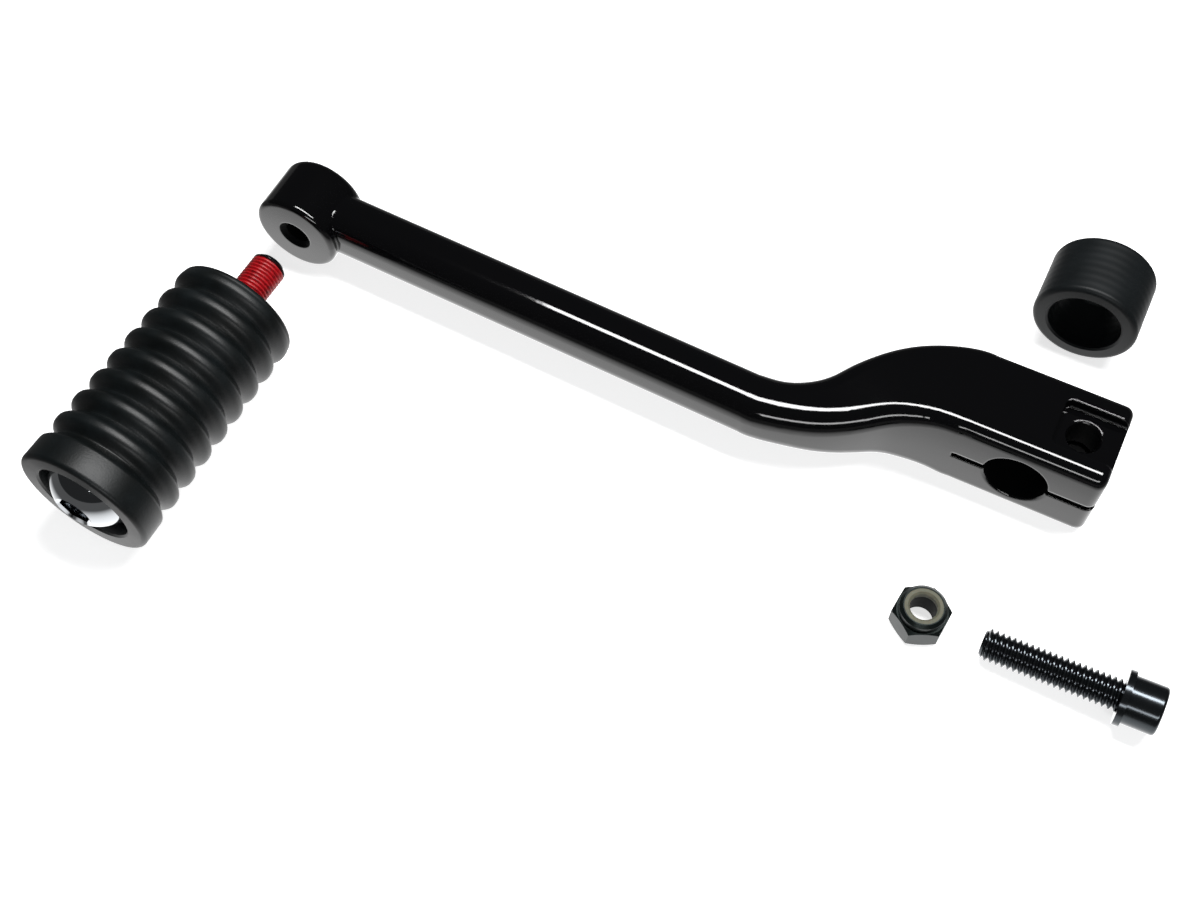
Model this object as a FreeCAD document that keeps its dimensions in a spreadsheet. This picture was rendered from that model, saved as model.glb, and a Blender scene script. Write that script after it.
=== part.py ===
# Heel-toe shift lever kit, laid out for fitting: forged clamp lever, ribbed foot peg on its stud,
# shaft spacer, pinch screw with washer, and locking nut.
# Frame: origin on the shaft bore's axis at mid clamp, +X out of the clamp's open end,
# +Y along the bore away from the rider's foot, +Z up. The surface the kit lies on is half a clamp below.
import FreeCAD, Part
import os
import Sketcher
from FreeCAD import Placement, Rotation, Vector

doc = FreeCAD.newDocument("shift_lever_kit")

# Driving dimensions, millimetres and degrees
sizes = {
    # clamp end of the lever
    "clamp_width": 25.4,
    "clamp_height": 25.4,
    "clamp_corner": 3.4,
    "clamp_end": 20.0,
    "clamp_reach": 15.5,
    "end_round": 2.4,
    "bore_dia": 15.88,
    "bore_chamfer": 0.5,
    "slit_width": 1.8,
    "slit_reach": 16.5,
    "bolt_reach": 11.0,
    "seat_depth": 3.0,
    "seat_corner": 2.0,
    # arm and its double bend
    "arm_reach": 199.0,
    "arm_width": 14.0,
    "arm_height": 15.0,
    "arm_corner": 5.6,
    "bend_angle": 45.0,
    "bend_offset": 21.6,
    "boss_offset": 17.7,
    # boss that takes the peg
    "boss_dia": 24.0,
    "boss_front": 27.4,
    "boss_back": 9.6,
    "boss_edge": 1.4,
    "root_width": 15.6,
    "root_height": 18.6,
    # how far a cut starts outside its face
    "cut_over": 1.0,
    # fastener thread and its clearances
    "thread_dia": 7.94,
    "tap_dia": 6.9,
    "thread_play": 0.2,
    "thread_chamfer": 1.1,
    # ribbed peg
    "peg_dia": 33.0,
    "rib_pitch": 7.0,
    "rib_count": 8,
    "rib_depth": 2.6,
    "rib_flat": 1.2,
    "flange_length": 9.4,
    "peg_edge": 0.9,
    "rim_drop": 0.25,
    "recess_dia": 25.0,
    "recess_depth": 6.0,
    "grip_play": 0.1,
    # peg stud
    "dome_dia": 23.0,
    "dome_rim": 1.6,
    "dome_height": 5.2,
    "shank_dia": 12.7,
    "stud_reach": 16.5,
    "stud_key": 7.94,
    "stud_key_depth": 6.0,
    # spacer sleeve
    "spacer_dia": 27.4,
    "spacer_bore": 19.2,
    "spacer_length": 18.9,
    "spacer_edge": 0.9,
    # pinch screw and washer
    "screw_length": 34.9,
    "head_dia": 11.9,
    "head_height": 7.94,
    "head_edge": 0.6,
    "screw_key": 6.35,
    "screw_key_depth": 5.0,
    "washer_dia": 13.7,
    "washer_thick": 1.6,
    # locking nut with its nylon ring
    "nut_flats": 12.7,
    "nut_hex_height": 6.1,
    "nut_height": 8.7,
    "nut_bevel": 0.8,
    "bevel_inset": 0.1,
    "collar_dia": 11.6,
    "collar_edge": 0.8,
    "insert_dia": 9.4,
    "insert_bore": 6.7,
    "insert_height": 2.1,
    "insert_play": 0.05,
    "insert_drop": 0.2,
    # where the loose pieces lie
    "peg_gap": 13.0,
    "spacer_gap": 26.0,
    "spacer_side": 1.0,
    "screw_side": 42.6,
    "screw_front": 52.8,
    "nut_side": -7.9,
    "nut_front": 52.5,
    "nut_turn": 24.5,
}

sheet = doc.addObject("Spreadsheet::Sheet", "Dim")
for row, (name, value) in enumerate(sizes.items(), start=1):
    sheet.set(f"A{row}", name)
    sheet.set(f"B{row}", str(value))
    sheet.setAlias(f"B{row}", name)
doc.recompute()


def value(expression):
    result = sheet.evalExpression(expression)
    return float(getattr(result, "Value", result))


def new_body(label):
    body = doc.addObject("PartDesign::Body", label)
    body.Label = label
    return body


def origin_plane(body, role):
    for feature in body.Origin.OriginFeatures:
        if feature.Role == role:
            return feature
    raise ValueError(role)


def new_sketch(body, name, role, shift=("0", "0", "0")):
    # A sketch on one of the body's own planes, shifted along that plane's x, y and normal
    sketch = body.newObject("Sketcher::SketchObject", name)
    sketch.AttachmentSupport = [(origin_plane(body, role), "")]
    sketch.MapMode = "FlatFace"
    for axis, expression in zip("xyz", shift):
        if expression != "0":
            sketch.setExpression(f"AttachmentOffset.Base.{axis}", expression)
    return sketch


def bind(sketch, kind, places, expression):
    # One driving constraint tied to the sheet
    index = sketch.addConstraint(Sketcher.Constraint(kind, *places, value(expression)))
    sketch.setExpression(f"Constraints[{index}]", expression)


def draw(sketch, points):
    # Closed outline through points (x, y), (x, y, radius) or (x, y, radius, "right"). A radius bends the
    # side that leads to its point, about a centre on the left of travel, or on its right where that is said.
    places = [Vector(value(point[0]), value(point[1]), 0) for point in points]
    ends = []
    for i, start in enumerate(places):
        following = (i + 1) % len(places)
        end = places[following]
        curved = points[following][2:]
        if not curved:
            index = sketch.addGeometry(Part.LineSegment(start, end), False)
            ends.append((index, 1, 2))
            continue
        radius = value(curved[0])
        chord = end - start
        half = chord.Length / 2
        rise = radius - max(radius * radius - half * half, 0) ** 0.5
        right = Vector(chord.y, -chord.x, 0).normalize()
        if curved[1:] == ("right",):
            index = sketch.addGeometry(Part.Arc(end, (start + end) / 2 - right * rise, start), False)
            ends.append((index, 2, 1))
        else:
            index = sketch.addGeometry(Part.Arc(start, (start + end) / 2 + right * rise, end), False)
            ends.append((index, 1, 2))
    for i, (index, first, last) in enumerate(ends):
        following = (i + 1) % len(ends)
        sketch.addConstraint(Sketcher.Constraint("Coincident", index, last, ends[following][0], ends[following][1]))
    for i, (index, first, last) in enumerate(ends):
        bind(sketch, "DistanceX", (-1, 1, index, first), points[i][0])
        bind(sketch, "DistanceY", (-1, 1, index, first), points[i][1])
        curved = points[(i + 1) % len(points)][2:]
        if curved:
            bind(sketch, "Radius", (index,), curved[0])
    return sketch


def turn(body, kind, sketch, axis):
    # Full revolution or groove about one of the sketch's own axes
    feature = body.newObject(f"PartDesign::{kind}", sketch.Name + "_turn")
    feature.Profile = sketch
    feature.ReferenceAxis = (sketch, [axis])
    feature.Angle = 360.0
    return feature


def pocket(body, sketch, length, reverse=False, both_ways=False):
    feature = body.newObject("PartDesign::Pocket", sketch.Name + "_cut")
    feature.Profile = sketch
    feature.setExpression("Length", length)
    feature.Reversed = reverse
    if both_ways:
        feature.SideType = "Symmetric"
    return feature


def hexagon(flats, turned="0"):
    # Corner points of a hexagon given across its flats
    corner = f"({flats}) / 2 / cos(30)"
    return [(f"{corner} * cos({60 * k} + {turned})", f"{corner} * sin({60 * k} + {turned})") for k in range(6)]


def lay(body, place):
    for axis, expression in zip("xyz", place):
        body.setExpression(f"Placement.Base.{axis}", expression)


FLOOR = "-Dim.clamp_height / 2"
BOLT_HOLE = "(Dim.thread_dia / 2 + Dim.thread_play)"


# Lever: one forging, lofted from the boss through the double bend to the clamp

lever = new_body("shift_lever")
BEND_RADIUS = "(Dim.bend_offset / (2 * (1 - cos(Dim.bend_angle))))"
BEND_START = f"(Dim.clamp_reach + 2 * {BEND_RADIUS} * sin(Dim.bend_angle))"
ARM_SIZE = ("Dim.arm_width", "Dim.arm_height", "Dim.arm_corner")
ROOT_SIZE = ("Dim.root_width", "Dim.root_height", "Dim.arm_corner")
CLAMP_SIZE = ("Dim.clamp_width", "Dim.clamp_height", "Dim.clamp_corner")


def blend(first, second, share):
    return tuple(f"({a} * {1 - share:.3f} + {b} * {share:.3f})" for a, b in zip(first, second))


def arm_line(share):
    # Point on the arm's straight run, from the boss (0) to the bend (1)
    along = f"(-Dim.arm_reach + {share} * (Dim.arm_reach - {BEND_START}))"
    across = f"(-Dim.boss_offset + {share} * (Dim.boss_offset - Dim.bend_offset))"
    return along, across


def first_arc(share):
    angle = f"(Dim.bend_angle * {share})"
    along = f"(-{BEND_START} + {BEND_RADIUS} * sin{angle})"
    across = f"(-Dim.bend_offset + {BEND_RADIUS} * (1 - cos{angle}))"
    return along, across, angle


def second_arc(share):
    angle = f"(Dim.bend_angle * {share})"
    along = f"(-Dim.clamp_reach - {BEND_RADIUS} * sin{angle})"
    across = f"(-{BEND_RADIUS} * (1 - cos{angle}))"
    return along, across, angle


def rounded_section(body, name, station):
    along, across, angle, (width, height, corner) = station
    sketch = new_sketch(body, name, "YZ_Plane", (across, "0", along))
    sketch.AttachmentOffset = Placement(Vector(), Rotation(Vector(0, 1, 0), value(angle)))
    if angle != "0":
        sketch.setExpression("AttachmentOffset.Rotation.Angle", angle)
    w, z = f"{width} / 2", f"{height} / 2"
    return draw(sketch, [
        (f"-{w} + {corner}", f"-{z}", corner),
        (f"{w} - {corner}", f"-{z}"),
        (w, f"-{z} + {corner}", corner),
        (w, f"{z} - {corner}"),
        (f"{w} - {corner}", z, corner),
        (f"-{w} + {corner}", z),
        (f"-{w}", f"{z} - {corner}", corner),
        (f"-{w}", f"-{z} + {corner}"),
    ])


FLARE_STEPS = (0, 0.035, 0.07, 0.105)
BEND_STEPS = 4
BEND_LAG = 1.3
flare = []
for step in FLARE_STEPS:
    spread = (1 - step / FLARE_STEPS[-1]) ** 2
    station = (*arm_line(step), "0", blend(ARM_SIZE, ROOT_SIZE, spread))
    flare.append(rounded_section(lever, f"root_{len(flare)}", station))

bend = []
for step in range(2 * BEND_STEPS + 1):
    travel = step / (2 * BEND_STEPS)
    growth = (travel ** 2 * (3 - 2 * travel)) ** BEND_LAG
    arc = first_arc(step / BEND_STEPS) if step <= BEND_STEPS else second_arc(2 - step / BEND_STEPS)
    bend.append(rounded_section(lever, f"bend_{step}", (*arc, blend(ARM_SIZE, CLAMP_SIZE, growth))))


def loft(name, sections):
    feature = lever.newObject("PartDesign::AdditiveLoft", name)
    feature.Profile = sections[0]
    feature.Sections = sections[1:]
    return feature


loft("boss_root", flare)
loft("arm", [flare[-1], bend[0]])
loft("double_bend", bend)
clamp = lever.newObject("PartDesign::Pad", "clamp")
clamp.Profile = bend[-1]
clamp.setExpression("Length", "Dim.clamp_reach + Dim.clamp_end")
doc.recompute()

# The open end's rim is rounded off
end_edges = []
for number, edge in enumerate(clamp.Shape.Edges, start=1):
    if abs(edge.BoundBox.XMin - value("Dim.clamp_end")) < 0.01:
        end_edges.append(f"Edge{number}")
rim = lever.newObject("PartDesign::Fillet", "end_rim")
rim.Base = (clamp, end_edges)
rim.setExpression("Radius", "Dim.end_round")

BOSS_R = "Dim.boss_dia / 2"
BACK_EDGE = "2 * Dim.boss_edge"
boss_sketch = new_sketch(lever, "boss", "XY_Plane", ("-Dim.arm_reach", "0", "0"))
turn(lever, "Revolution", draw(boss_sketch, [
    ("0", "-Dim.boss_front"),
    (f"{BOSS_R} - Dim.boss_edge", "-Dim.boss_front"),
    (BOSS_R, "-Dim.boss_front + Dim.boss_edge", "Dim.boss_edge"),
    (BOSS_R, f"-Dim.boss_back - {BACK_EDGE}"),
    (f"{BOSS_R} - {BACK_EDGE}", "-Dim.boss_back", BACK_EDGE),
    ("0", "-Dim.boss_back"),
]), "V_Axis")

MOUTH_R = "(Dim.tap_dia / 2 + Dim.thread_chamfer + Dim.thread_play)"
tap_sketch = new_sketch(lever, "peg_hole", "XY_Plane", ("-Dim.arm_reach", "0", "0"))
turn(lever, "Groove", draw(tap_sketch, [
    ("0", "-Dim.boss_front - Dim.cut_over"),
    (f"{MOUTH_R} + Dim.cut_over", "-Dim.boss_front - Dim.cut_over"),
    ("Dim.tap_dia / 2", f"-Dim.boss_front + {MOUTH_R} - Dim.tap_dia / 2"),
    ("Dim.tap_dia / 2", "-Dim.boss_back + Dim.cut_over"),
    ("0", "-Dim.boss_back + Dim.cut_over"),
]), "V_Axis")

FACE = "Dim.clamp_width / 2"
bore_sketch = new_sketch(lever, "shaft_bore", "XY_Plane")
turn(lever, "Groove", draw(bore_sketch, [
    ("0", f"-{FACE} - Dim.cut_over"),
    ("Dim.bore_dia / 2 + Dim.bore_chamfer + Dim.cut_over", f"-{FACE} - Dim.cut_over"),
    ("Dim.bore_dia / 2", f"-{FACE} + Dim.bore_chamfer"),
    ("Dim.bore_dia / 2", f"{FACE} - Dim.bore_chamfer"),
    ("Dim.bore_dia / 2 + Dim.bore_chamfer + Dim.cut_over", f"{FACE} + Dim.cut_over"),
    ("0", f"{FACE} + Dim.cut_over"),
]), "V_Axis")

slit_sketch = new_sketch(lever, "slit", "XZ_Plane")
pocket(lever, draw(slit_sketch, [
    ("-Dim.slit_reach", "-Dim.slit_width / 2"),
    ("Dim.clamp_end + Dim.cut_over", "-Dim.slit_width / 2"),
    ("Dim.clamp_end + Dim.cut_over", "Dim.slit_width / 2"),
    ("-Dim.slit_reach", "Dim.slit_width / 2"),
]), "Dim.clamp_width + 4 * Dim.cut_over", both_ways=True)

# Seat for the screw's washer, open towards the end
SEAT = "Dim.clamp_height / 2 - Dim.seat_depth"
SEAT_HALF = "(Dim.washer_dia / 2 + Dim.thread_play)"
SEAT_BACK = f"(Dim.bolt_reach - {SEAT_HALF})"
seat_sketch = new_sketch(lever, "washer_seat", "XY_Plane", ("0", "0", SEAT))
pocket(lever, draw(seat_sketch, [
    (f"{SEAT_BACK} + Dim.seat_corner", f"-{SEAT_HALF}", "Dim.seat_corner"),
    ("Dim.clamp_end + Dim.cut_over", f"-{SEAT_HALF}"),
    ("Dim.clamp_end + Dim.cut_over", SEAT_HALF),
    (f"{SEAT_BACK} + Dim.seat_corner", SEAT_HALF),
    (SEAT_BACK, f"{SEAT_HALF} - Dim.seat_corner", "Dim.seat_corner"),
    (SEAT_BACK, f"-{SEAT_HALF} + Dim.seat_corner"),
]), "Dim.seat_depth + Dim.cut_over", reverse=True)

bolt_sketch = new_sketch(lever, "pinch_hole", "XZ_Plane", ("Dim.bolt_reach", "0", "0"))
turn(lever, "Groove", draw(bolt_sketch, [
    ("0", "-Dim.clamp_height / 2 - Dim.cut_over"),
    (BOLT_HOLE, "-Dim.clamp_height / 2 - Dim.cut_over"),
    (BOLT_HOLE, f"{SEAT} - Dim.bore_chamfer"),
    (f"{BOLT_HOLE} + Dim.bore_chamfer + Dim.cut_over", f"{SEAT} + Dim.cut_over"),
    ("0", f"{SEAT} + Dim.cut_over"),
]), "V_Axis")


# Ribbed rubber sleeve: near flange band, then one rib repeated to the far end

PEG_LENGTH = "(Dim.flange_length + Dim.rib_count * Dim.rib_pitch)"
PEG_Y = f"-Dim.boss_front - Dim.peg_gap - Dim.stud_reach - {PEG_LENGTH}"
PEG_PLACE = ("-Dim.arm_reach", PEG_Y, f"{FLOOR} + Dim.peg_dia / 2")
CREST = "Dim.peg_dia / 2"
VALLEY = "(Dim.peg_dia / 2 - Dim.rib_depth)"
SLEEVE_BORE = "(Dim.shank_dia / 2 + Dim.grip_play)"
RIM = "(Dim.peg_dia / 2 - Dim.rim_drop)"

rubber = new_body("peg_rubber")
sleeve_sketch = new_sketch(rubber, "sleeve", "XY_Plane")
turn(rubber, "Revolution", draw(sleeve_sketch, [
    (SLEEVE_BORE, "Dim.recess_depth"),
    ("Dim.recess_dia / 2", "Dim.recess_depth"),
    ("Dim.recess_dia / 2", "0"),
    (f"{CREST} - Dim.peg_edge", "0"),
    (CREST, "Dim.peg_edge"),
    (CREST, "Dim.flange_length - Dim.rib_depth"),
    (VALLEY, "Dim.flange_length"),
    (VALLEY, f"{PEG_LENGTH} - Dim.rib_pitch / 2"),
    (RIM, f"{PEG_LENGTH} - Dim.rib_pitch / 2"),
    (RIM, f"{PEG_LENGTH} - Dim.peg_edge"),
    (f"{RIM} - Dim.peg_edge", PEG_LENGTH),
    (SLEEVE_BORE, PEG_LENGTH),
]), "V_Axis")

# Rib section: straight flanks between a narrow crest and half a valley on either side
RIB_START = "Dim.flange_length"
RIB_MIDDLE = f"{RIB_START} + Dim.rib_pitch / 2"
RIB_END = f"{RIB_START} + Dim.rib_pitch"
RIB_ROOT = f"{VALLEY} - Dim.rib_depth"
HALF_FLAT = "Dim.rib_flat / 2"
rib_sketch = new_sketch(rubber, "rib", "XY_Plane")
draw(rib_sketch, [
    (RIB_ROOT, RIB_START),
    (VALLEY, RIB_START),
    (VALLEY, f"{RIB_START} + {HALF_FLAT}"),
    (CREST, f"{RIB_MIDDLE} - {HALF_FLAT}"),
    (CREST, f"{RIB_MIDDLE} + {HALF_FLAT}"),
    (VALLEY, f"{RIB_END} - {HALF_FLAT}"),
    (VALLEY, RIB_END),
    (RIB_ROOT, RIB_END),
])
rib = turn(rubber, "Revolution", rib_sketch, "V_Axis")
doc.recompute()
ribs = rubber.newObject("PartDesign::LinearPattern", "ribs")
ribs.Originals = [rib]
ribs.Direction = (rib_sketch, ["V_Axis"])
ribs.setExpression("Length", "Dim.rib_pitch * (Dim.rib_count - 1)")
ribs.setExpression("Occurrences", "Dim.rib_count")
rubber.Tip = ribs
lay(rubber, PEG_PLACE)


# Peg stud: domed head in the sleeve's recess, plain shank, threaded end

DOME_R = "(Dim.dome_dia / 2)"
DOME_BASE = "(Dim.recess_depth - Dim.dome_rim)"
DOME_BALL = f"(({DOME_R} ^ 2 + Dim.dome_height ^ 2) / (2 * Dim.dome_height))"
DOME_TOP = f"({DOME_BASE} - Dim.dome_height)"
STUD_END = f"({PEG_LENGTH} + Dim.stud_reach)"

stud = new_body("peg_stud")
stud_sketch = new_sketch(stud, "stud", "XY_Plane")
turn(stud, "Revolution", draw(stud_sketch, [
    ("0", DOME_TOP),
    (DOME_R, DOME_BASE, DOME_BALL),
    (DOME_R, "Dim.recess_depth"),
    ("Dim.shank_dia / 2", "Dim.recess_depth"),
    ("Dim.shank_dia / 2", PEG_LENGTH),
    ("Dim.thread_dia / 2", PEG_LENGTH),
    ("Dim.thread_dia / 2", f"{STUD_END} - Dim.thread_chamfer"),
    ("Dim.thread_dia / 2 - Dim.thread_chamfer", STUD_END),
    ("0", STUD_END),
]), "V_Axis")
stud_key = new_sketch(stud, "key_socket", "XZ_Plane", ("0", "0", f"-{DOME_TOP}"))
pocket(stud, draw(stud_key, hexagon("Dim.stud_key")), "Dim.stud_key_depth")
lay(stud, PEG_PLACE)


# Spacer sleeve, lying behind the clamp in line with the bore

spacer = new_body("shaft_spacer")
SPACER_R = "Dim.spacer_dia / 2"
spacer_sketch = new_sketch(spacer, "sleeve", "XY_Plane")
turn(spacer, "Revolution", draw(spacer_sketch, [
    ("Dim.spacer_bore / 2 + Dim.bore_chamfer", "0"),
    (f"{SPACER_R} - Dim.spacer_edge", "0"),
    (SPACER_R, "Dim.spacer_edge"),
    (SPACER_R, "Dim.spacer_length - Dim.spacer_edge"),
    (f"{SPACER_R} - Dim.spacer_edge", "Dim.spacer_length"),
    ("Dim.spacer_bore / 2 + Dim.bore_chamfer", "Dim.spacer_length"),
    ("Dim.spacer_bore / 2", "Dim.spacer_length - Dim.bore_chamfer"),
    ("Dim.spacer_bore / 2", "Dim.bore_chamfer"),
]), "V_Axis")
lay(spacer, ("Dim.spacer_side", "Dim.clamp_width / 2 + Dim.spacer_gap", f"{FLOOR} + {SPACER_R}"))


# Pinch screw and its washer, tipped so that the washer's rim and the thread's end touch the surface

screw = new_body("clamp_screw")
THREAD_R = "Dim.thread_dia / 2"
HEAD_R = "Dim.head_dia / 2"
screw_sketch = new_sketch(screw, "screw", "XY_Plane")
turn(screw, "Revolution", draw(screw_sketch, [
    ("-Dim.screw_length", "0"),
    ("Dim.head_height", "0"),
    ("Dim.head_height", f"{HEAD_R} - Dim.head_edge"),
    ("Dim.head_height - Dim.head_edge", HEAD_R),
    ("0", HEAD_R),
    ("0", THREAD_R),
    ("-Dim.screw_length + Dim.thread_chamfer", THREAD_R),
    ("-Dim.screw_length", f"{THREAD_R} - Dim.thread_chamfer"),
]), "H_Axis")
screw_key = new_sketch(screw, "key_socket", "YZ_Plane", ("0", "0", "Dim.head_height"))
pocket(screw, draw(screw_key, hexagon("Dim.screw_key")), "Dim.screw_key_depth")

washer = new_body("screw_washer")
washer_sketch = new_sketch(washer, "washer", "XY_Plane")
turn(washer, "Revolution", draw(washer_sketch, [
    ("-Dim.washer_thick", BOLT_HOLE),
    ("0", BOLT_HOLE),
    ("0", "Dim.washer_dia / 2"),
    ("-Dim.washer_thick", "Dim.washer_dia / 2"),
]), "H_Axis")

TIP_FALL = "(Dim.washer_dia - Dim.thread_dia) / 2"
TIP_RUN = "(Dim.screw_length - Dim.thread_chamfer - Dim.washer_thick)"
SCREW_TILT = f"atan({TIP_FALL} / {TIP_RUN})"
SCREW_Z = f"{FLOOR} + Dim.washer_thick * sin({SCREW_TILT}) + Dim.washer_dia / 2 * cos({SCREW_TILT})"
for piece in (screw, washer):
    piece.Placement = Placement(Vector(), Rotation(Vector(0, -1, 0), value(SCREW_TILT)))
    piece.setExpression("Placement.Rotation.Angle", SCREW_TILT)
    lay(piece, ("Dim.screw_side", "-Dim.screw_front", SCREW_Z))


# Locking nut, lying flat with its nylon ring upwards

nut = new_body("lock_nut")
hex_sketch = new_sketch(nut, "hex", "XY_Plane")
draw(hex_sketch, hexagon("Dim.nut_flats"))
hex_pad = nut.newObject("PartDesign::Pad", "hex_pad")
hex_pad.Profile = hex_sketch
hex_pad.setExpression("Length", "Dim.nut_hex_height")

COLLAR_R = "Dim.collar_dia / 2"
collar_sketch = new_sketch(nut, "collar", "XZ_Plane")
turn(nut, "Revolution", draw(collar_sketch, [
    ("0", "Dim.nut_hex_height - Dim.cut_over"),
    (COLLAR_R, "Dim.nut_hex_height - Dim.cut_over"),
    (COLLAR_R, "Dim.nut_height - Dim.collar_edge"),
    (f"{COLLAR_R} - Dim.collar_edge", "Dim.nut_height"),
    ("0", "Dim.nut_height"),
]), "V_Axis")

# The corners are bevelled to a circle just inside the flats, above and below
CORNER_R = "(Dim.nut_flats / 2 / cos(30))"
BEVEL_R = "(Dim.nut_flats / 2 - Dim.bevel_inset)"
BEVEL_DROP = f"(({CORNER_R} + Dim.cut_over - {BEVEL_R}) * Dim.nut_bevel / ({CORNER_R} - {BEVEL_R}))"
for name, face, way in (("lower_bevel", "0", ""), ("upper_bevel", "Dim.nut_hex_height", "-")):
    bevel_sketch = new_sketch(nut, name, "XZ_Plane")
    turn(nut, "Groove", draw(bevel_sketch, [
        (BEVEL_R, face),
        (f"{CORNER_R} + Dim.cut_over", face),
        (f"{CORNER_R} + Dim.cut_over", f"{face} + {way}{BEVEL_DROP}"),
    ]), "V_Axis")

INSERT_SEAT = "(Dim.nut_height - Dim.insert_height)"
hole_sketch = new_sketch(nut, "hole", "XZ_Plane")
turn(nut, "Groove", draw(hole_sketch, [
    ("0", "-Dim.cut_over"),
    ("Dim.tap_dia / 2 + Dim.bore_chamfer + Dim.cut_over", "-Dim.cut_over"),
    ("Dim.tap_dia / 2", "Dim.bore_chamfer"),
    ("Dim.tap_dia / 2", INSERT_SEAT),
    ("Dim.insert_dia / 2 + Dim.insert_play", INSERT_SEAT),
    ("Dim.insert_dia / 2 + Dim.insert_play", "Dim.nut_height + Dim.cut_over"),
    ("0", "Dim.nut_height + Dim.cut_over"),
]), "V_Axis")

insert = new_body("nut_insert")
insert_sketch = new_sketch(insert, "ring", "XZ_Plane")
turn(insert, "Revolution", draw(insert_sketch, [
    ("Dim.insert_bore / 2", INSERT_SEAT),
    ("Dim.insert_dia / 2", INSERT_SEAT),
    ("Dim.insert_dia / 2", "Dim.nut_height - Dim.insert_drop"),
    ("Dim.insert_bore / 2 + Dim.bore_chamfer", "Dim.nut_height - Dim.insert_drop"),
    ("Dim.insert_bore / 2", "Dim.nut_height - Dim.insert_drop - Dim.bore_chamfer"),
]), "V_Axis")
for piece in (nut, insert):
    piece.Placement = Placement(Vector(), Rotation(Vector(0, 0, 1), value("Dim.nut_turn")))
    piece.setExpression("Placement.Rotation.Angle", "Dim.nut_turn")
    lay(piece, ("Dim.nut_side", "-Dim.nut_front", FLOOR))


doc.recompute()
for item in doc.Objects:
    if "Invalid" in item.State or "Error" in item.State:
        raise RuntimeError(f"{item.Label}: {item.State}")

os.makedirs("parts", exist_ok=True)
for piece in (lever, rubber, stud, spacer, screw, washer, nut, insert):
    shape = piece.Shape
    if shape.isNull() or not shape.isValid() or len(shape.Solids) != 1:
        raise RuntimeError(f"{piece.Label}: shape is not one valid solid")
    print(piece.Label, round(shape.Volume, 1), [round(v, 2) for v in (
        shape.BoundBox.XMin, shape.BoundBox.XMax, shape.BoundBox.YMin,
        shape.BoundBox.YMax, shape.BoundBox.ZMin, shape.BoundBox.ZMax)])
    shape.exportStep(f"parts/{piece.Label}.step")
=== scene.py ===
# Looks for the heel-toe shift lever kit: finishes, cut threads, rounded rubber and plastic edges,
# studio and camera.
import bmesh
import bpy
import math
from mathutils import Matrix, Vector


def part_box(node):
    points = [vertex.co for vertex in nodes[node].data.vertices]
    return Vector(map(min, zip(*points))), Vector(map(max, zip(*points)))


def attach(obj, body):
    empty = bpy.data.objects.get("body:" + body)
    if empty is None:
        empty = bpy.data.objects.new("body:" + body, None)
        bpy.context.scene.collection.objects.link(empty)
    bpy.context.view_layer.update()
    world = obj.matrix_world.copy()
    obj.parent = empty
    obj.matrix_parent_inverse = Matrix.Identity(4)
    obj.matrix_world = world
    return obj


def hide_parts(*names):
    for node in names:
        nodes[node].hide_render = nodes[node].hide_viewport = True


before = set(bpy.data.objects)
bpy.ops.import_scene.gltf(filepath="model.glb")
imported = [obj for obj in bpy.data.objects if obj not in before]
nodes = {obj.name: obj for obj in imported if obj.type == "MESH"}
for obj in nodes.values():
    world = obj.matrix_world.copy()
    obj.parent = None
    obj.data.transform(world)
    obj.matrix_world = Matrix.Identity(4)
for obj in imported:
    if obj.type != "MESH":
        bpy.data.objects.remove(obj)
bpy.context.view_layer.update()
mm = 0.001
inch = 25.4  # in millimetres
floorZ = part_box("shift_lever")[0].z
print("frame loaded:", len(nodes), "nodes")


def linear(hexColour):
    channels = [int(hexColour[i:i + 2], 16) / 255 for i in (1, 3, 5)]
    return tuple(c / 12.92 if c <= 0.04045 else ((c + 0.055) / 1.055) ** 2.4 for c in channels) + (1.0,)


def addNode(tree, kind, settings=None, links=None):
    node = tree.nodes.new(kind)
    for key, setting in (settings or {}).items():
        if isinstance(key, int) or key in node.inputs:
            node.inputs[key].default_value = setting
        else:
            setattr(node, key, setting)
    for key, source in (links or {}).items():
        tree.links.new(source, node.inputs[key])
    return node


def startMaterial(name, **sockets):
    material = bpy.data.materials.new(name)
    material.use_nodes = True
    shader = material.node_tree.nodes["Principled BSDF"]
    for socket, setting in sockets.items():
        shader.inputs[socket.replace("_", " ")].default_value = setting
    place = addNode(material.node_tree, "ShaderNodeTexCoord").outputs["Object"]
    return material, material.node_tree, shader, place


def perMm(size):
    return 1 / (size * mm)  # noise scale for a feature of that many millimetres


# Polyester powder coat, baked to a deep gloss: black, mirror sharp, with a faint orange peel
glossCoat = {"colour": "#060607", "ior": 1.58, "roughness": (0.035, 0.075), "hazeMm": 30,
             "peelMm": 2.2, "peelDepthMm": 0.02, "peelStrength": 0.35, "edgeMm": 0.8, "edgeSamples": 12}


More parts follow.
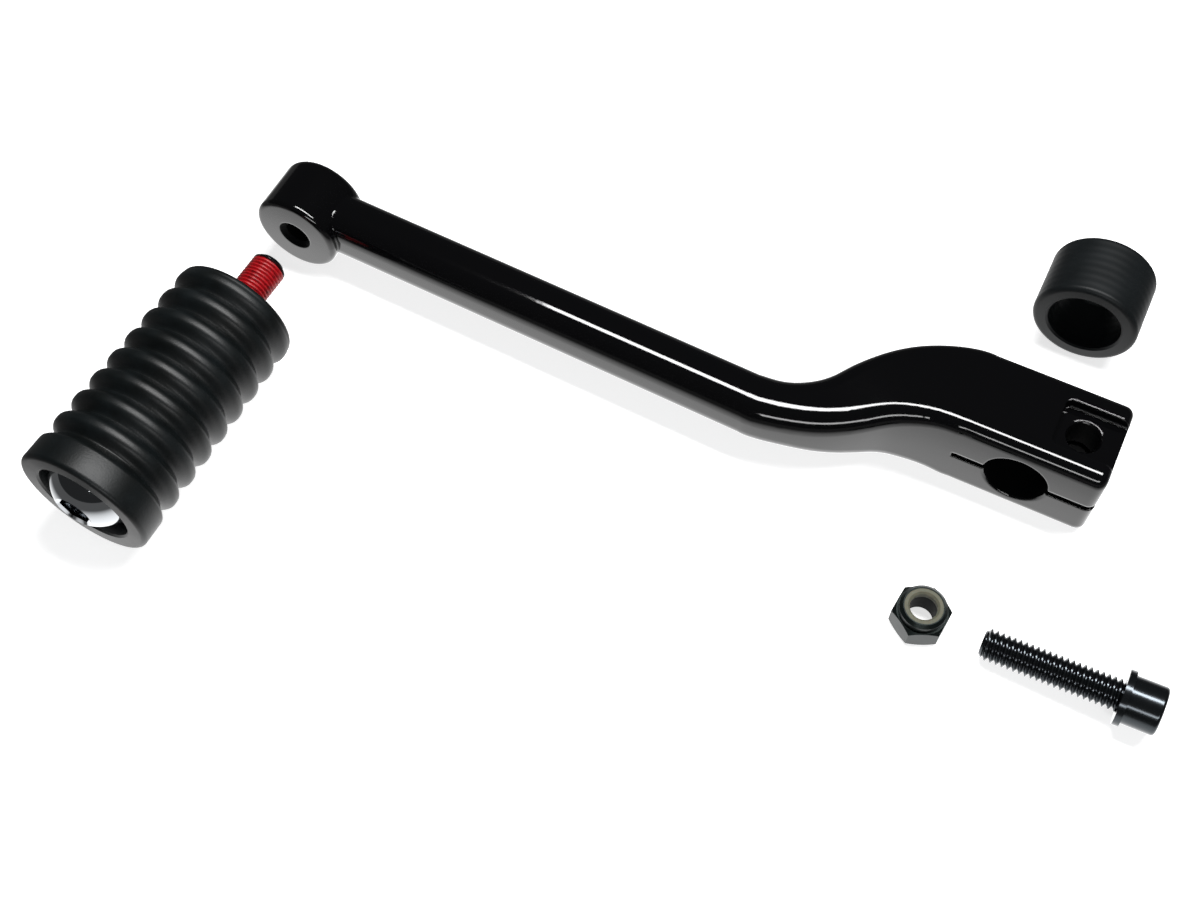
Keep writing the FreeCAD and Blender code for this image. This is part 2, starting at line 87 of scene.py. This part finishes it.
def makeGlossCoat():
    look = glossCoat
    material, tree, shader, place = startMaterial(
        "gloss_black_powder_coat_baked", Base_Color=linear(look["colour"]), IOR=look["ior"])
    peel = addNode(tree, "ShaderNodeTexNoise", {"Scale": perMm(look["peelMm"]), "Detail": 1.0},
                   {"Vector": place})
    # The coat flows round each sharp edge, so the edge catches a line of light
    edge = addNode(tree, "ShaderNodeBevel",
                   {"samples": look["edgeSamples"], "Radius": look["edgeMm"] * mm})
    bump = addNode(tree, "ShaderNodeBump",
                   {"Strength": look["peelStrength"], "Distance": look["peelDepthMm"] * mm},
                   {"Height": peel.outputs["Fac"], "Normal": edge.outputs["Normal"]})
    tree.links.new(bump.outputs["Normal"], shader.inputs["Normal"])
    haze = addNode(tree, "ShaderNodeTexNoise", {"Scale": perMm(look["hazeMm"]), "Detail": 4.0},
                   {"Vector": place})
    gloss = addNode(tree, "ShaderNodeMapRange",
                    {"To Min": look["roughness"][0], "To Max": look["roughness"][1]},
                    {"Value": haze.outputs["Fac"]})
    tree.links.new(gloss.outputs["Result"], shader.inputs["Roughness"])
    return material


# Carbon black nitrile rubber, compression moulded: matt with a soft sheen and a fine mould grain
# The real grain is about 0.1 mm; it is drawn coarser, so that it shows
rubber = {"dark": "#060909", "bloom": "#0f1517", "bloomMm": 9, "bloomRamp": (0.38, 0.72),
          "roughness": (0.36, 0.5), "specular": 0.42, "grainMm": 0.45, "grainDepthMm": 0.06,
          "grainStrength": 0.5}


def makeRubber():
    look = rubber
    material, tree, shader, place = startMaterial(
        "black_rubber_moulded", IOR=1.5, Specular_IOR_Level=look["specular"])
    grain = addNode(tree, "ShaderNodeTexNoise", {"Scale": perMm(look["grainMm"]), "Detail": 3.0},
                    {"Vector": place})
    bump = addNode(tree, "ShaderNodeBump",
                   {"Strength": look["grainStrength"], "Distance": look["grainDepthMm"] * mm},
                   {"Height": grain.outputs["Fac"]})
    tree.links.new(bump.outputs["Normal"], shader.inputs["Normal"])
    bloom = addNode(tree, "ShaderNodeTexNoise",
                    {"Scale": perMm(look["bloomMm"]), "Detail": 6.0, "Roughness": 0.65},
                    {"Vector": place})
    shade = addNode(tree, "ShaderNodeValToRGB", links={"Fac": bloom.outputs["Fac"]})
    stops = zip(shade.color_ramp.elements, look["bloomRamp"], (look["dark"], look["bloom"]))
    for stop, position, colour in stops:
        stop.position = position
        stop.color = linear(colour)
    tree.links.new(shade.outputs["Color"], shader.inputs["Base Color"])
    sheen = addNode(tree, "ShaderNodeMapRange",
                    {"To Min": look["roughness"][0], "To Max": look["roughness"][1]},
                    {"Value": bloom.outputs["Fac"]})
    tree.links.new(sheen.outputs["Result"], shader.inputs["Roughness"])
    return material


# Acetal bar, turned on a lathe: satin black with faint tool rings round the sleeve
# Real tool rings are about 0.2 mm apart; they are drawn much wider, so that they show
spacerPlastic = {"colour": "#0b0e0f", "worn": "#14181a", "mottleMm": 7, "roughness": (0.4, 0.52),
                 "specular": 0.26, "ringMm": 2.4, "ringDepthMm": 0.05, "ringStrength": 0.6}


def makeSpacerPlastic():
    look = spacerPlastic
    material, tree, shader, place = startMaterial(
        "black_acetal_turned", IOR=1.48, Specular_IOR_Level=look["specular"])
    # A wave texture of scale s repeats every 2 pi / (20 s)
    rings = addNode(tree, "ShaderNodeTexWave",
                    {"bands_direction": "Y", "Distortion": 0.4, "Detail": 1.0,
                     "Scale": 2 * math.pi / (20 * look["ringMm"] * mm)}, {"Vector": place})
    bump = addNode(tree, "ShaderNodeBump",
                   {"Strength": look["ringStrength"], "Distance": look["ringDepthMm"] * mm},
                   {"Height": rings.outputs["Fac"]})
    tree.links.new(bump.outputs["Normal"], shader.inputs["Normal"])
    mottle = addNode(tree, "ShaderNodeTexNoise", {"Scale": perMm(look["mottleMm"]), "Detail": 5.0},
                     {"Vector": place})
    # Inputs 6 and 7 and output 2 of a mix node are its colour sockets
    shade = addNode(tree, "ShaderNodeMix",
                    {"data_type": "RGBA", 6: linear(look["colour"]), 7: linear(look["worn"])},
                    {0: mottle.outputs["Fac"]})
    tree.links.new(shade.outputs[2], shader.inputs["Base Color"])
    gloss = addNode(tree, "ShaderNodeMapRange",
                    {"To Min": look["roughness"][0], "To Max": look["roughness"][1]},
                    {"Value": mottle.outputs["Fac"]})
    tree.links.new(gloss.outputs["Result"], shader.inputs["Roughness"])
    return material


# Steel in three finishes: the plating sets its colour and how sharp its highlights are
steelFinishes = {
    # bright mirror that shows the table white and the room dark
    "steel_chrome_plated": {"colour": "#c4c7ca", "roughness": (0.03, 0.07), "metallic": 1.0,
                            "specular": 0.5, "spotMm": 5},
    # near black, with oily glints on each thread
    "steel_black_oxide_oiled": {"colour": "#3c4043", "roughness": (0.12, 0.22), "metallic": 0.9,
                                "specular": 0.5, "spotMm": 2.5},
    # dark greenish grey, satin
    "steel_black_zinc_plated": {"colour": "#1c2221", "roughness": (0.22, 0.36), "metallic": 0.6,
                                "specular": 0.2, "spotMm": 3},
}
platingSpots = {"depthMm": 0.02, "strength": 0.15}  # the same faint unevenness in all three


def makeSteel(name):
    look = steelFinishes[name]
    material, tree, shader, place = startMaterial(
        name, Base_Color=linear(look["colour"]), Metallic=look["metallic"],
        Specular_IOR_Level=look["specular"])
    spots = addNode(tree, "ShaderNodeTexNoise",
                    {"Scale": perMm(look["spotMm"]), "Detail": 5.0, "Roughness": 0.6},
                    {"Vector": place})
    gloss = addNode(tree, "ShaderNodeMapRange",
                    {"To Min": look["roughness"][0], "To Max": look["roughness"][1]},
                    {"Value": spots.outputs["Fac"]})
    tree.links.new(gloss.outputs["Result"], shader.inputs["Roughness"])
    bump = addNode(tree, "ShaderNodeBump",
                   {"Strength": platingSpots["strength"], "Distance": platingSpots["depthMm"] * mm},
                   {"Height": spots.outputs["Fac"]})
    tree.links.new(bump.outputs["Normal"], shader.inputs["Normal"])
    return material


# Anaerobic thread lock, brushed on and dried: a chalky red film, dark where it is thin
threadLock = {"film": "#b4111b", "thin": "#5c0a10", "filmRamp": (0.3, 0.5), "roughness": 0.42,
              "patchMm": 1.6, "patchDepthMm": 0.06, "patchStrength": 0.4}


def makeThreadLock():
    look = threadLock
    material, tree, shader, place = startMaterial(
        "red_thread_lock_dried", Roughness=look["roughness"], IOR=1.5)
    patch = addNode(tree, "ShaderNodeTexNoise",
                    {"Scale": perMm(look["patchMm"]), "Detail": 6.0, "Roughness": 0.7},
                    {"Vector": place})
    shade = addNode(tree, "ShaderNodeValToRGB", links={"Fac": patch.outputs["Fac"]})
    stops = zip(shade.color_ramp.elements, look["filmRamp"], (look["thin"], look["film"]))
    for stop, position, colour in stops:
        stop.position = position
        stop.color = linear(colour)
    tree.links.new(shade.outputs["Color"], shader.inputs["Base Color"])
    bump = addNode(tree, "ShaderNodeBump",
                   {"Strength": look["patchStrength"], "Distance": look["patchDepthMm"] * mm},
                   {"Height": patch.outputs["Fac"]})
    tree.links.new(bump.outputs["Normal"], shader.inputs["Normal"])
    return material


# Painted shade inside the holes: steel drawn near black, dull and hardly reflecting, so the holes read
# dark; a faint bump stands for the boring tool's marks
paintedHoleShade = {"colour": "#0a0b0c", "roughness": 0.6, "metallic": 0.0, "specular": 0.03,
            "markMm": 1.2, "markDepthMm": 0.03, "markStrength": 0.3}


def makePaintedHoleShade():
    look = paintedHoleShade
    material, tree, shader, place = startMaterial(
        "steel_painted_hole_shade", Base_Color=linear(look["colour"]), Roughness=look["roughness"],
        Metallic=look["metallic"], Specular_IOR_Level=look["specular"])
    marks = addNode(tree, "ShaderNodeTexNoise", {"Scale": perMm(look["markMm"]), "Detail": 3.0},
                    {"Vector": place})
    bump = addNode(tree, "ShaderNodeBump",
                   {"Strength": look["markStrength"], "Distance": look["markDepthMm"] * mm},
                   {"Height": marks.outputs["Fac"]})
    tree.links.new(bump.outputs["Normal"], shader.inputs["Normal"])
    return material


# Nylon 6, moulded ring: greyish cream, slightly see-into, nearly matt
nylon = {"colour": "#6f6e5f", "shade": "#565547", "cloudMm": 1.5, "roughness": 0.6, "specular": 0.2,
         "seeInto": 0.1, "depthMm": 0.6}


def makeNylon():
    look = nylon
    material, tree, shader, place = startMaterial(
        "cream_nylon_moulded", Roughness=look["roughness"], IOR=1.53,
        Specular_IOR_Level=look["specular"], Subsurface_Weight=look["seeInto"],
        Subsurface_Scale=look["depthMm"] * mm)
    cloud = addNode(tree, "ShaderNodeTexNoise", {"Scale": perMm(look["cloudMm"]), "Detail": 3.0},
                    {"Vector": place})
    shade = addNode(tree, "ShaderNodeMix",
                    {"data_type": "RGBA", 6: linear(look["shade"]), 7: linear(look["colour"])},
                    {0: cloud.outputs["Fac"]})
    tree.links.new(shade.outputs[2], shader.inputs["Base Color"])
    return material


chrome = makeSteel("steel_chrome_plated")
blackOxide = makeSteel("steel_black_oxide_oiled")
blackZinc = makeSteel("steel_black_zinc_plated")
redLock = makeThreadLock()
nodeFinish = {"shift_lever": makeGlossCoat(), "peg_rubber": makeRubber(),
              "shaft_spacer": makeSpacerPlastic(), "peg_stud": chrome, "clamp_screw": blackOxide,
              "screw_washer": blackOxide, "lock_nut": blackZinc, "nut_insert": makeNylon()}
for name, finish in nodeFinish.items():
    nodes[name].data.materials.clear()
    nodes[name].data.materials.append(finish)


# Holes whose walls get painted shade: a point on the axis, the axis and the radius in mm
paintedShadeHoles = [{"node": "shift_lever", "point": (-199.0, 0, 0), "axis": (0, 1, 0), "radius": 4.8},
             {"node": "shift_lever", "point": (0, 0, 0), "axis": (0, 1, 0), "radius": 8.0},
             {"node": "shift_lever", "point": (11.0, 0, 0), "axis": (0, 0, 1), "radius": 4.3},
             {"node": "lock_nut", "point": (-7.9, -52.5, 0), "axis": (0, 0, 1), "radius": 3.6}]
endFacing = 0.9  # a face turned this far towards the axis is an end face and keeps its coat


def paintHoleShade(hole, finish):
    mesh = nodes[hole["node"]].data
    if finish.name not in mesh.materials:
        mesh.materials.append(finish)
    axis = Vector(hole["axis"])
    for face in mesh.polygons:
        away = face.center / mm - Vector(hole["point"])
        out = away - axis * away.dot(axis)
        if out.length < hole["radius"] and abs(face.normal.dot(axis)) < endFacing:
            # Finish 1 is the painted hole shade, which comes after the node's own finish
            face.material_index = 1  # the bare finish comes after the node's own


# Painted shade on the walls of the holes listed above
holeShadeFinish = makePaintedHoleShade()
for hole in paintedShadeHoles:
    paintHoleShade(hole, holeShadeFinish)
print("finishes set on", len(nodeFinish), "nodes")


# Turned pieces: each is a stack of rings about its axis, and a ring is round, six-sided or helical
# Lengths in mm: support ring's distance from a round edge, and how near corners are joined
turning = {"support": 0.15, "edgeSteps": 6, "weld": 0.001, "sharpDeg": 32}
# 60 degree thread: depth as a share of the pitch, flat root and flank as shares of half the pitch
threadForm = {"depth": 0.6134, "root": 0.125, "flank": 0.625}


def hexRadius(flats):
    return lambda angle: flats / 2 / math.cos(angle % (math.pi / 3) - math.pi / 6)


def socketRings(floor, point, size):
    # Bottom of a key socket: the drill's point, the floor and the foot of the six-sided wall
    key = hexRadius(size["key"])
    return [(point, 0, 0), (floor, lambda angle: key(angle) * size["floorShare"], 0), (floor, key, 0)]


def socketMouth(size):
    # Radius of the countersunk mouth, a little past the hexagon's corners
    return size["key"] / 2 / math.cos(math.pi / 6) + size["mouth"]


def edgeRings(along, radius, roundMm, wayAlong):
    # Quarter round from an end face out to the side, with a support ring on both sides of it;
    # wayAlong is 1 or -1 and points into the piece
    support, steps = turning["support"], turning["edgeSteps"]
    rings = [(along, radius - roundMm - support, 0)]
    for i in range(steps + 1):
        turned = math.pi / 2 * i / steps
        rings.append((along + wayAlong * roundMm * (1 - math.cos(turned)),
                      radius - roundMm * (1 - math.sin(turned)), 0))
    rings.append((along + wayAlong * (roundMm + support), radius, 0))
    return rings


def threadRings(start, end, size, finish, bareTip=0.0, bareFinish=0):
    # Flat crests and roots, run out at the start and chamfered at the tip
    major, pitch, chamfer = size["thread"], size["pitch"], size["chamfer"]
    depth = threadForm["depth"] * pitch
    count = int(abs(end - start) / pitch * size["perTurn"])
    rings = []
    for i in range(count + 1):
        along = start + (end - start) * i / count
        limit = major / 2 - max(0.0, chamfer - abs(end - along))
        fade = min(1.0, abs(along - start) / pitch)

        def radius(angle, along=along, limit=limit, fade=fade):
            wave = abs(2 * ((along / pitch + angle / (2 * math.pi)) % 1) - 1)
            height = min(1.0, max(0.0, (wave - threadForm["root"]) / threadForm["flank"]))
            return min(limit, major / 2 - depth * fade * (1 - height))
        rings.append((along, radius, bareFinish if abs(end - along) < bareTip else finish))
    return rings


def turnedPiece(node, rings, steps, place, finishes):
    # rings: (distance along the axis, radius or radius function, finish number);
    # place maps (across, across, along) into the frame, in mm
    corners, faces, finishOf = [], [], []
    previous = None
    for along, radius, finish in rings:
        if radius == 0:
            current = [len(corners)] * steps
            corners.append(place @ Vector((0, 0, along)))
        else:
            current = list(range(len(corners), len(corners) + steps))
            for k in range(steps):
                angle = 2 * math.pi * k / steps
                size = radius(angle) if callable(radius) else radius
                corners.append(place @ Vector((size * math.cos(angle), size * math.sin(angle), along)))
        if previous:
            for k in range(steps):
                around = [previous[k], previous[(k + 1) % steps], current[(k + 1) % steps], current[k]]
                faces.append(tuple(dict.fromkeys(around)))
                finishOf.append(finish)
        previous = current
    mesh = bpy.data.meshes.new(node)
    mesh.from_pydata([corner * mm for corner in corners], [], faces)
    for finish in finishes:
        mesh.materials.append(finish)
    mesh.polygons.foreach_set("material_index", finishOf)
    shape = bmesh.new()
    shape.from_mesh(mesh)
    bmesh.ops.remove_doubles(shape, verts=shape.verts, dist=turning["weld"] * mm)
    bmesh.ops.recalc_face_normals(shape, faces=shape.faces)
    shape.to_mesh(mesh)
    shape.free()
    mesh.shade_smooth()
    mesh.set_sharp_from_angle(angle=math.radians(turning["sharpDeg"]))
    piece = bpy.data.objects.new(node + "_turned", mesh)
    bpy.context.scene.collection.objects.link(piece)
    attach(piece, "root")
    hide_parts(node)


def lengthwise(node):
    # Box of a node that lies along y, in mm, and the map that lays a turned piece's axis there
    low, high = (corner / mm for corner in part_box(node))
    middle = (low + high) / 2
    axes = Matrix(((1, 0, 0, 0), (0, 0, 1, 0), (0, 1, 0, 0), (0, 0, 0, 1)))
    return low, high, Matrix.Translation((middle.x, 0, middle.z)) @ axes


def pegTilt(slide=0.0):
    # The peg leans on its wider near end: a turn about x and a little about z, both at the near end
    low, high = (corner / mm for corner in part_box("peg_rubber"))
    wide, narrow = sleeveSize["taper"]
    lean = math.atan((wide - narrow) / (high.y - low.y))
    near = Vector(((low.x + high.x) / 2, low.y, (low.z + high.z) / 2))
    lift = Matrix.Translation(near + Vector((slide, 0, wide)))
    turn = Matrix.Rotation(math.radians(sleeveSize["turnDeg"]), 4, "Z") @ Matrix.Rotation(-lean, 4, "X")
    return lift @ turn @ Matrix.Translation(-near)


# Rubber sleeve: plain band round the near end, broad ribs, a short rim at the far end
# taper is what the radius gains at each end, for all that lies further out than the recess and wall
sleeveSize = {"flange": 10.1, "pitch": 7.0, "depth": 2.4, "fall": 2.9, "narrowing": 1.7,
              "edge": 1.2, "rimDrop": 0.25, "recess": 25.0, "recessDepth": 6.0, "lip": 0.5,
              "bore": 12.9, "wall": 1.0, "taper": (1.2, 0.2), "slide": 0.5, "turnDeg": -1.2,
              "perPitch": 18, "steps": 144}


def makeSleeve():
    low, high, place = lengthwise("peg_rubber")
    near, far, crest = low.y, high.y, (high.x - low.x) / 2
    size = sleeveSize
    wide, narrow = size["taper"]
    bore, recess = size["bore"] / 2, size["recess"] / 2
    recessFloor, ribStart = near + size["recessDepth"], near + size["flange"]
    rim = crest - size["rimDrop"]
    rings = [(far, bore, 0), (recessFloor, bore, 0), (recessFloor, recess, 0),
             (near + size["lip"], recess, 0), (near, recess + size["lip"], 0)]
    rings += edgeRings(near, crest, size["edge"], 1)
    # The band falls to the first groove
    along = ribStart - size["fall"]
    step = size["pitch"] / size["perPitch"]
    while along < ribStart:
        share = (along - ribStart + size["fall"]) / size["fall"]
        rings.append((along, crest - size["depth"] * (1 - math.cos(math.pi * share)) / 2, 0))
        along += step
    # Ribs with narrow grooves, and no groove in the last half pitch
    along = ribStart
    while along < far - size["edge"] - step:
        groove = (1 + math.cos(2 * math.pi * (along - ribStart) / size["pitch"])) / 2
        wave = crest - size["depth"] * groove ** size["narrowing"]
        rings.append((along, max(wave, rim) if along > far - size["pitch"] / 2 else wave, 0))
        along += step
    rings += list(reversed(edgeRings(far, rim, size["edge"], -1)))
    rings.append((far, bore, 0))

    def tapered(along, radius):
        gain = wide + (narrow - wide) * (along - near) / (far - near)
        return radius + gain if radius > recess + size["wall"] else radius
    rings = [(along, tapered(along, radius), finish) for along, radius, finish in rings]
    turnedPiece("peg_rubber", rings, size["steps"], pegTilt(size["slide"]) @ place,
                [nodeFinish["peg_rubber"]])


# Peg stud: domed head with a key socket, shank through the sleeve, fine thread
# The thread is as wide as it looks with its red film on
studSize = {"key": 7.94, "keyDepth": 6.0, "floorShare": 0.8, "drillPoint": 1.2, "mouth": 0.5,
            "mouthDrop": 0.5, "domeHeight": 8.2, "domeRings": 14, "rim": 1.6, "recessDepth": 6.0,
            "sleeve": 65.4, "shank": 11.8, "shankDrop": 0.3, "neck": 0.1, "thread": 9.5,
            "pitch": inch / 24, "chamfer": 1.1, "bareTip": 1.5, "perTurn": 12, "steps": 72}


def makeStud():
    low, high, place = lengthwise("peg_stud")
    size = studSize
    near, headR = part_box("peg_rubber")[0].y / mm, (high.x - low.x) / 2
    ball = (headR ** 2 + size["domeHeight"] ** 2) / (2 * size["domeHeight"])
    seat = near + size["recessDepth"]
    domeTop = seat - size["rim"] - size["domeHeight"]
    socketFloor = domeTop + size["keyDepth"]
    mouth = socketMouth(size)

    def domeAt(radius):
        return domeTop + ball - math.sqrt(ball ** 2 - radius ** 2)
    rings = socketRings(socketFloor, socketFloor + size["drillPoint"], size)
    rings += [(domeAt(mouth) + size["mouthDrop"], hexRadius(size["key"]), 0), (domeAt(mouth), mouth, 0)]
    for i in range(1, size["domeRings"] + 1):
        radius = mouth + (headR - mouth) * i / size["domeRings"]
        rings.append((domeAt(radius), radius, 0))
    shank, sleeveEnd = size["shank"] / 2, near + size["sleeve"]
    shankEnd = sleeveEnd - size["shankDrop"]
    filmed, oxided = 1, 2  # places in the list of finishes, after the chrome
    rings += [(seat, headR, 0), (seat, shank, 0), (shankEnd, shank, 0),
              (shankEnd, size["thread"] / 2 + size["neck"], oxided)]
    rings += threadRings(sleeveEnd, high.y, size, filmed, size["bareTip"], oxided)
    rings.append((high.y, 0, oxided))
    turnedPiece("peg_stud", rings, size["steps"], pegTilt() @ place,
                [chrome, redLock, blackOxide])


# Spacer: plain sleeve with rounded outer rims and chamfered bore
spacerSize = {"bore": 19.2, "chamfer": 0.5, "edge": 1.3, "steps": 144}


def makeSpacer():
    low, high, place = lengthwise("shaft_spacer")
    size = spacerSize
    near, far, outer, bore = low.y, high.y, (high.x - low.x) / 2, size["bore"] / 2
    chamfer = size["chamfer"]
    rings = [(far - chamfer, bore, 0), (near + chamfer, bore, 0), (near, bore + chamfer, 0)]
    rings += edgeRings(near, outer, size["edge"], 1)
    rings += list(reversed(edgeRings(far, outer, size["edge"], -1)))
    rings += [(far, bore + chamfer, 0), (far - chamfer, bore, 0)]
    turnedPiece("shaft_spacer", rings, size["steps"], place,
                [nodeFinish["shaft_spacer"]])


# Pinch screw: socket head with a rounded rim, coarse thread up to the washer
screwSize = {"length": 34.9, "head": 11.9, "headHeight": 7.94, "edge": 0.8, "key": 6.35,
             "keyDepth": 5.0, "floorShare": 0.8, "drillPoint": 0.9, "mouth": 0.4, "washer": 13.7,
             "washerThick": 1.6, "neck": 0.1, "thread": 7.94, "pitch": inch / 18, "chamfer": 1.1,
             "perTurn": 14, "steps": 84}


def makeScrew():
    size = screwSize
    # The screw lies on its washer's rim and its tip
    run = size["length"] - size["chamfer"] - size["washerThick"]
    tilt = math.atan((size["washer"] - size["thread"]) / 2 / run)
    axis = Vector((math.cos(tilt), 0, math.sin(tilt)))
    low, high = (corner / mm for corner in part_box("screw_washer"))
    seat = (low + high) / 2 + axis * size["washerThick"] / 2
    place = Matrix(((0, axis.z, axis.x, seat.x), (1, 0, 0, seat.y),
                    (0, -axis.x, axis.z, seat.z), (0, 0, 0, 1)))
    top = size["headHeight"]
    socketFloor = top - size["keyDepth"]
    rings = socketRings(socketFloor, socketFloor - size["drillPoint"], size)
    rings += [(top - size["mouth"], hexRadius(size["key"]), 0), (top, socketMouth(size), 0)]
    rings += edgeRings(top, size["head"] / 2, size["edge"], -1)
    rings += [(0.0, size["head"] / 2, 0), (0.0, size["thread"] / 2 + size["neck"], 0)]
    rings += threadRings(0.0, -size["length"], size, 0)
    rings.append((-size["length"], 0, 0))
    turnedPiece("clamp_screw", rings, size["steps"], place, [blackOxide])


makeSleeve()
makeStud()
makeSpacer()
makeScrew()
print("turned pieces made")


# The table also gives glossy rays a painted reflection: a glow that is strongest within a few mm of the
# parts and fades further off, so the parts' lower sides light up
studio = {"table": "#f4f4f4", "tableHalf": 3.0, "tableDropMm": 0.02, "tableGlow": 0.7,
          "paintedReflectionMm": (4, 60), "paintedReflectionNear": 1.9, "paintedReflectionFar": 0.12,
          "room": "#eceff2", "roomLight": 0.15, "roomGlint": 0.03, "roomShown": 0.85,
          "overhead": {"place": (-0.015, 0.12, 0.62), "aim": (-0.015, 0.02, 0),
                       "size": (0.62, 0.13), "watts": 5.8},
          "window": {"place": (0.2, -0.7, 0.45), "aim": (-0.1, -0.02, 0),
                     "size": (0.5, 0.12), "watts": 1.5}}


def makeTable():
    half = studio["tableHalf"]
    mesh = bpy.data.meshes.new("table")
    corners = [(-half, -half, 0), (half, -half, 0), (half, half, 0), (-half, half, 0)]
    mesh.from_pydata(corners, [], [(0, 1, 2, 3)])
    table = bpy.data.objects.new("table", mesh)
    bpy.context.scene.collection.objects.link(table)
    table.location.z = floorZ - studio["tableDropMm"] * mm
    material = bpy.data.materials.new("white_table")
    material.use_nodes = True
    tree = material.node_tree
    tree.nodes.clear()
    paint = addNode(tree, "ShaderNodeBsdfDiffuse", {"Color": linear(studio["table"])})
    ray = addNode(tree, "ShaderNodeLightPath")
    lift = addNode(tree, "ShaderNodeMath", {"operation": "MULTIPLY", 1: studio["tableGlow"]},
                   {0: ray.outputs["Is Camera Ray"]})
    glow = addNode(tree, "ShaderNodeEmission", {}, {"Strength": lift.outputs[0]})
    lit = addNode(tree, "ShaderNodeAddShader", {}, {0: paint.outputs[0], 1: glow.outputs[0]})
    # Painted reflection: for glossy rays the table glows, brightest close to the parts and dimmer with
    # distance
    near, far = studio["paintedReflectionMm"]
    fade = addNode(tree, "ShaderNodeMapRange",
                   {"From Min": near * mm, "From Max": far * mm, "To Min": studio["paintedReflectionNear"],
                    "To Max": studio["paintedReflectionFar"], "interpolation_type": "SMOOTHSTEP"},
                   {"Value": ray.outputs["Ray Length"]})
    paintedReflection = addNode(tree, "ShaderNodeEmission", {}, {"Strength": fade.outputs["Result"]})
    both = addNode(tree, "ShaderNodeMixShader", {},
                   {0: ray.outputs["Is Glossy Ray"], 1: lit.outputs[0], 2: paintedReflection.outputs[0]})
    addNode(tree, "ShaderNodeOutputMaterial", {}, {"Surface": both.outputs[0]})
    mesh.materials.append(material)


def makeLamp(name):
    facts = studio[name]
    data = bpy.data.lights.new(name, "AREA")
    data.shape = "RECTANGLE"
    data.size, data.size_y = facts["size"]
    data.energy = facts["watts"]
    lamp = bpy.data.objects.new(name, data)
    lamp.location = facts["place"]
    lamp.rotation_euler = (Vector(facts["aim"]) - lamp.location).to_track_quat("-Z", "Y").to_euler()
    bpy.context.scene.collection.objects.link(lamp)


def makeRoom():
    world = bpy.data.worlds.new("room")
    world.use_nodes = True
    bpy.context.scene.world = world
    tree = world.node_tree
    back = tree.nodes["Background"]
    back.inputs["Color"].default_value = linear(studio["room"])
    ray = addNode(tree, "ShaderNodeLightPath")
    level = addNode(tree, "ShaderNodeMapRange",
                    {"To Min": studio["roomLight"], "To Max": studio["roomGlint"]},
                    {"Value": ray.outputs["Is Glossy Ray"]})
    shown = addNode(tree, "ShaderNodeMath", {"operation": "MULTIPLY_ADD", 1: studio["roomShown"]},
                    {0: ray.outputs["Is Camera Ray"], 2: level.outputs["Result"]})
    tree.links.new(shown.outputs[0], back.inputs["Strength"])


# Camera fitted to the photograph: the table point at the picture's centre, the look-down angle,
# the turn and the lens
view = {"aimMm": (-98.4, -44.05), "distanceMm": 400.4, "downDeg": 59.88, "turnDeg": 26.5,
        "focalPx": 1549.3, "frameWidthPx": 1200, "sensorMm": 36.0, "clipStartMm": 10}


def makeCamera():
    data = bpy.data.cameras.new("camera")
    data.sensor_width = view["sensorMm"]
    data.lens = view["sensorMm"] * view["focalPx"] / view["frameWidthPx"]
    data.clip_start = view["clipStartMm"] * mm
    camera = bpy.data.objects.new("camera", data)
    down, turned = math.radians(view["downDeg"]), math.radians(view["turnDeg"])
    level = math.cos(down)
    forward = Vector((-math.sin(turned) * level, math.cos(turned) * level, -math.sin(down)))
    aim = Vector((view["aimMm"][0] * mm, view["aimMm"][1] * mm, floorZ))
    camera.location = aim - forward * view["distanceMm"] * mm
    camera.rotation_euler = forward.to_track_quat("-Z", "Y").to_euler()
    bpy.context.scene.collection.objects.link(camera)
    bpy.context.scene.camera = camera


makeTable()
makeRoom()
makeLamp("overhead")
makeLamp("window")
makeCamera()
bpy.context.scene.view_settings.view_transform = "Standard"
print("studio and camera set")
